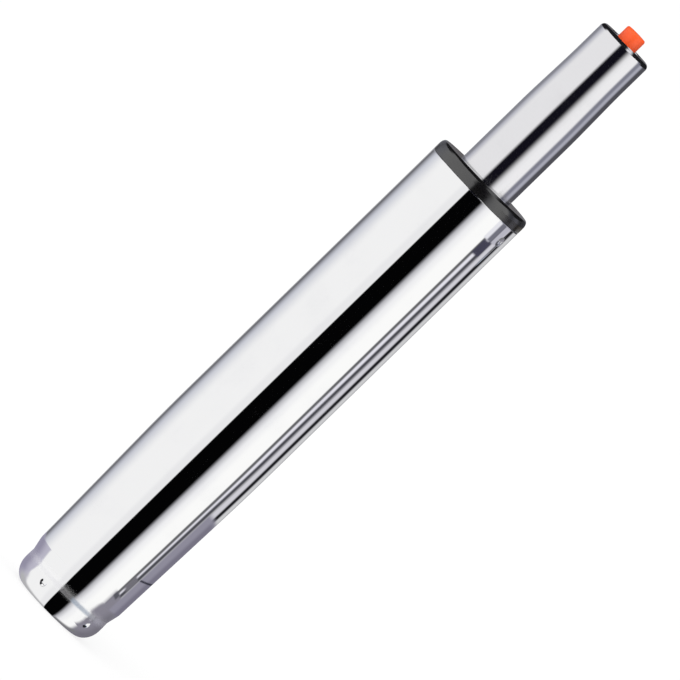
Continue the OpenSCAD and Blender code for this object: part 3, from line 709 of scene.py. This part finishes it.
def columnOutline(look, radius, top):
    slope = math.tan(math.radians(look["coneAngle"]))
    coneTop, blend, lip, wall = look["coneTop"], look["coneBlend"], look["lip"], look["wall"]
    width, rise = look["rollWidth"], look["rollHeight"]
    steps = look["steps"]
    coneFoot = look["bends"][-1][0] * mm
    flare = wallCurve(look["bends"], radius - slope * (coneTop - coneFoot))
    nose = flare[0][0]

    bandLow, bandHigh = [top - drop for drop in look["markBand"]]
    blendHeights = [coneTop - blend + 2 * blend * i / steps["blend"] for i in range(steps["blend"] + 1)]
    outside = arc((look["rim"] + lip, lip), lip, 180, 270, steps["lip"])
    outside += arc((nose - width, rise), width, 270, 360, steps["roll"], rise)
    outside += flare
    outside += run(flare[-1], (radius - slope * blend, coneTop - blend), steps["cone"])[:-1]
    outside += [(radius - slope * (coneTop + blend - z) ** 2 / (4 * blend), z) for z in blendHeights]
    outside += run((radius, coneTop + blend), (radius, bandLow), steps["tube"])
    outside += run((radius, bandLow), (radius, bandHigh), steps["band"])
    outside += [(radius, top - lip - look["hold"])]
    outside += arc((radius - lip, top - lip), lip, 0, 90, steps["lip"])
    inside = arc((radius - wall + lip, top - lip), lip, 90, 180, steps["lip"])
    inside += [(radius - wall, coneTop)]
    inside += [(across - wall, height) for across, height in flare[::-4]]   # coarser, going down
    inside += arc((nose - width, rise), width - wall, 0, -90, steps["innerRoll"], rise - wall)
    inside += arc((look["rim"] + lip, wall - lip), lip, 90, 180, steps["lip"])
    return outside + inside


def punchMark(piece, angle, height, reach, depth):
    # the outer point nearest to the mark is pushed in, and its neighbours follow
    turn = Vector((math.cos(math.radians(angle)), math.sin(math.radians(angle)), 0))
    far = turn * 2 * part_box("outer_column")[1].x + Vector((0, 0, height))
    nearest = min(piece.data.vertices, key=lambda vertex: (vertex.co - far).length_squared)
    index, push = nearest.index, -nearest.normal * depth
    bpy.ops.object.mode_set(mode="EDIT")
    bpy.ops.mesh.select_mode(type="VERT")
    bpy.ops.mesh.select_all(action="DESELECT")
    bpy.ops.object.mode_set(mode="OBJECT")
    piece.data.vertices[index].select = True
    bpy.ops.object.mode_set(mode="EDIT")
    bpy.ops.transform.translate(value=push, use_proportional_edit=True, proportional_size=reach,
                                proportional_edit_falloff="INVERSE_SQUARE")
    bpy.ops.object.mode_set(mode="OBJECT")


def makeColumn(look):
    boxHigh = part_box("outer_column")[1]
    piece = turnPiece("column_shell", columnOutline(look, boxHigh.x, boxHigh.z), look["sides"])
    bpy.ops.object.shade_smooth()
    for marks in (look["nosePunches"], look["topPunches"]):
        for angle in marks["angles"]:
            punchMark(piece, angle, marks["height"], marks["reach"], marks["depth"])
    finishPiece(piece, "column", "chrome_shell", "outer_column")


makeColumn(column)


# Gas spring tube: rolled ends and a seat cone below the tip
tube = {
    "wall": 2 * mm,
    "endRound": 2.2 * mm,
    "innerRound": 0.4 * mm,
    "lowHole": 7.5 * mm,
    "topHole": 8.5 * mm,
    "coneStart": 266 * mm,          # above the tube's lower end
    "coneHeight": 25 * mm,
    "coneAngle": 1.44,
    "coneBlend": 5 * mm,
    "lip": 0.3 * mm,
    "hold": 0.3 * mm,               # rings that keep the wall straight up to the roundings
    "steps": {"lip": 3, "round": 12, "wall": 12, "blend": 8},
    "sides": 320,
}


def tubeOutline(look, radius, bottom, top):
    slope = math.tan(math.radians(look["coneAngle"]))
    tip = radius - look["coneHeight"] * slope
    coneLow = bottom + look["coneStart"]
    coneHigh = coneLow + look["coneHeight"]
    wall, big, small = look["wall"], look["endRound"], look["innerRound"]
    lip, blend, steps = look["lip"], look["coneBlend"], look["steps"]
    climbs = [2 * blend * i / steps["blend"] for i in range(steps["blend"] + 1)]
    lowBend = [(radius - slope * climb ** 2 / (4 * blend), coneLow - blend + climb) for climb in climbs]
    highBend = [(tip + slope * (2 * blend - climb) ** 2 / (4 * blend), coneHigh - blend + climb)
                for climb in climbs]
    points = arc((look["lowHole"] + lip, bottom + lip), lip, 180, 270, steps["lip"])
    points += arc((radius - big, bottom + big), big, 270, 360, steps["round"])
    points += [(radius, bottom + big + look["hold"])]
    points += run((radius, bottom + big), lowBend[0], steps["wall"])[:-1] + lowBend + highBend
    points += [(tip, top - big - look["hold"])]
    points += arc((tip - big, top - big), big, 0, 90, steps["round"])
    points += arc((look["topHole"] + lip, top - lip), lip, 90, 180, steps["lip"])
    points += arc((look["topHole"] + lip, top - wall + lip), lip, 180, 270, steps["lip"])
    points += arc((tip - wall - small, top - wall - small), small, 90, 0, steps["lip"])
    points += [(tip - wall, coneHigh), (radius - wall, coneLow)]
    points += arc((radius - wall - small, bottom + wall + small), small, 0, -90, steps["lip"])
    points += arc((look["lowHole"] + lip, bottom + wall - lip), lip, 90, 180, steps["lip"])
    return points


def makeTube(look):
    low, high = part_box("spring_tube")
    piece = turnPiece("gas_spring_tube", tubeOutline(look, high.x, low.z, high.z), look["sides"])
    bpy.ops.object.shade_smooth()
    finishPiece(piece, "spring", "chrome_shell", "spring_tube", finish=groundChrome)


makeTube(tube)


# Guide bush: the black collar on top, and the ribbed sleeve inside the column
bush = {
    "bore": 14.1 * mm,
    "collarHeight": 6 * mm,
    "foot": 0.15 * mm,              # rounding of the collar's lower edge
    "edgeWidth": 1.6 * mm,          # rounding of its upper edge
    "edgeHeight": 3 * mm,
    "mouth": 0.4 * mm,              # rounding at the bore's top
    "hold": 0.2 * mm,               # rings that keep the top face flat
    "ring": 23.15 * mm,
    "sleeve": 17.1 * mm,
    "sleeveSlack": 0.1 * mm,        # faces this near to that radius are the sleeve's
    "lowRing": 10 * mm,
    "topRing": 16 * mm,
    "ribs": 6,
    "ribHalfAngle": 4.2,            # degrees
    "ribGap": 0.35 * mm,
    "steps": {"foot": 3, "edge": 10, "mouth": 5},
    "sides": 256,
}


def bushOutline(look, radius, bottom, top):
    seat = top - look["collarHeight"]
    foot, width, rise = look["foot"], look["edgeWidth"], look["edgeHeight"]
    bore, mouth, hold, steps = look["bore"], look["mouth"], look["hold"], look["steps"]
    points = [(bore, bottom), (look["ring"], bottom), (look["ring"], bottom + look["lowRing"])]
    points += [(look["sleeve"], bottom + look["lowRing"]), (look["sleeve"], seat - look["topRing"])]
    points += [(look["ring"], seat - look["topRing"]), (look["ring"], seat)]
    points += arc((radius - foot, seat + foot), foot, 270, 360, steps["foot"])
    points += [(radius, seat + 2 * foot), (radius, top - rise - foot)]
    points += arc((radius - width, top - rise), width, 0, 90, steps["edge"], rise)
    points += [(radius - width - hold, top), (bore + mouth + hold, top)]
    points += arc((bore + mouth, top - mouth), mouth, 90, 180, steps["mouth"])
    return points


def selectFaces(piece, test):
    bpy.ops.object.mode_set(mode="EDIT")
    bpy.ops.mesh.select_mode(type="FACE")
    bpy.ops.mesh.select_all(action="DESELECT")
    bpy.ops.object.mode_set(mode="OBJECT")
    for face in piece.data.polygons:
        face.select = test(face)
    bpy.ops.object.mode_set(mode="EDIT")


def makeBush(look):
    low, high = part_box("guide_bush")
    piece = turnPiece("guide_collar", bushOutline(look, high.x, low.z, high.z), look["sides"])
    pitch = 360 / look["ribs"]

    def onRib(face):
        centre = face.center.xy
        angle = math.degrees(math.atan2(centre.y, centre.x)) % pitch
        near = min(angle, pitch - angle) < look["ribHalfAngle"]
        outward = face.normal.xy.dot(centre) > centre.length / 2    # no level or inner face
        return near and outward and abs(centre.length - look["sleeve"]) < look["sleeveSlack"]

    selectFaces(piece, onRib)
    reach = look["ring"] - look["sleeve"] - look["ribGap"]
    bpy.ops.mesh.extrude_region_shrink_fatten(TRANSFORM_OT_shrink_fatten={"value": reach})
    bpy.ops.mesh.select_all(action="SELECT")
    bpy.ops.mesh.normals_make_consistent(inside=False)
    bpy.ops.object.mode_set(mode="OBJECT")
    bpy.ops.object.shade_smooth_by_angle(angle=creaseAngle)
    finishPiece(piece, "column", "black_plastic", "guide_bush")


makeBush(bush)


# Release button, with the blind hole that takes the valve pin
button = {
    "edge": 1 * mm,
    "edgeTurn": 84,                 # degrees that the rounded edge goes before the crown
    "crown": 0.15 * mm,             # rise of the top face
    "foot": 0.2 * mm,
    "hole": 2.55 * mm,
    "holeDepth": 8 * mm,
    "steps": {"foot": 3, "edge": 10, "crown": 6},
    "sides": 128,
}


def buttonOutline(look, radius, bottom, top):
    edge, foot, steps = look["edge"], look["foot"], look["steps"]
    shoulder = top - look["crown"]
    roof = bottom + look["holeDepth"]
    points = [(0, roof), (look["hole"], roof), (look["hole"], bottom)]
    points += arc((radius - foot, bottom + foot), foot, 270, 360, steps["foot"])
    points += arc((radius - edge, shoulder - edge), edge, 0, look["edgeTurn"], steps["edge"])
    start = points[-1][0]
    rise = top - points[-1][1]
    shares = [1 - i / steps["crown"] for i in range(1, steps["crown"] + 1)]
    points += [(start * share, top - rise * share ** 2) for share in shares]
    return points


def makeButton(look):
    low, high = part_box("release_button")
    outline = buttonOutline(look, high.x, low.z, high.z)
    piece = turnPiece("push_button", outline, look["sides"], closed=False)
    finishPiece(piece, "button", "orange_plastic", "release_button")


makeButton(button)


# Cup, washer and clip in the nose, and the retainer round the button
ends = {
    "edge": 0.25 * mm,              # rounding of turned and stamped edges
    "cupHole": 4.3 * mm,
    "cupRecess": 3.8 * mm,          # from the cup's lower face up to its web
    "cupCorner": 6.5 * mm,          # rounding inside the column's roll
    "raceGap": 0.05 * mm,
    "washerHole": 4.05 * mm,
    "clipMouth": 3.05 * mm,
    "retainerHole": 5.35 * mm,
    "sides": 192,
}


def ringOutline(node, hole, edge):
    low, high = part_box(node)
    corners = [(hole, low.z), (high.y, low.z), (high.y, high.z), (hole, high.z)]
    return rounded([(*corner, edge) for corner in corners])


def cupOutline(look, rim):
    low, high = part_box("base_cup")
    raceLow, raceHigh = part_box("lower_race")
    edge, hole, web = look["edge"], look["cupHole"], low.z + look["cupRecess"]
    seat = raceHigh.y + look["raceGap"]
    return rounded([
        (hole, web, edge), (rim, web, edge), (rim, low.z, edge), (high.y, low.z, look["cupCorner"]),
        (high.y, high.z, edge), (seat, high.z, edge), (seat, raceLow.z, 0), (hole, raceLow.z, edge)])


def cutMouth(piece, half):
    # a block well past the clip's faces takes out its mouth, towards +X
    low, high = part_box("retaining_clip")
    bpy.ops.object.select_all(action="DESELECT")
    bpy.ops.mesh.primitive_cube_add(size=1, location=(high.y, 0, (low.z + high.z) / 2),
                                    scale=(2 * high.y, 2 * half, 4 * (high.z - low.z)))
    block = bpy.context.object
    bpy.ops.object.select_all(action="DESELECT")
    piece.select_set(True)
    bpy.context.view_layer.objects.active = piece
    bpy.ops.object.modifier_add(type="BOOLEAN")
    cut = piece.modifiers[-1]
    cut.object = block
    bpy.ops.object.modifier_apply(modifier=cut.name)
    bpy.data.objects.remove(block)
    bpy.ops.object.shade_smooth_by_angle(angle=creaseAngle)


def makeEnds(look, rim):
    edge, sides = look["edge"], look["sides"]
    cup = turnPiece("foot_cup", cupOutline(look, rim), sides)
    finishPiece(cup, "column", "dark_steel", "base_cup")
    washer = turnPiece("foot_washer", ringOutline("retaining_washer", look["washerHole"], edge), sides)
    finishPiece(washer, "rod", "zinc_steel", "retaining_washer")
    clip = turnPiece("foot_clip", ringOutline("retaining_clip", look["clipMouth"], edge), sides)
    cutMouth(clip, look["clipMouth"])
    finishPiece(clip, "rod", "dark_steel", "retaining_clip")
    retainer = turnPiece("button_retainer", ringOutline("valve_retainer", look["retainerHole"], edge), sides)
    finishPiece(retainer, "spring", "zinc_steel", "valve_retainer")


makeEnds(ends, column["rim"])
print("pieces modelled")
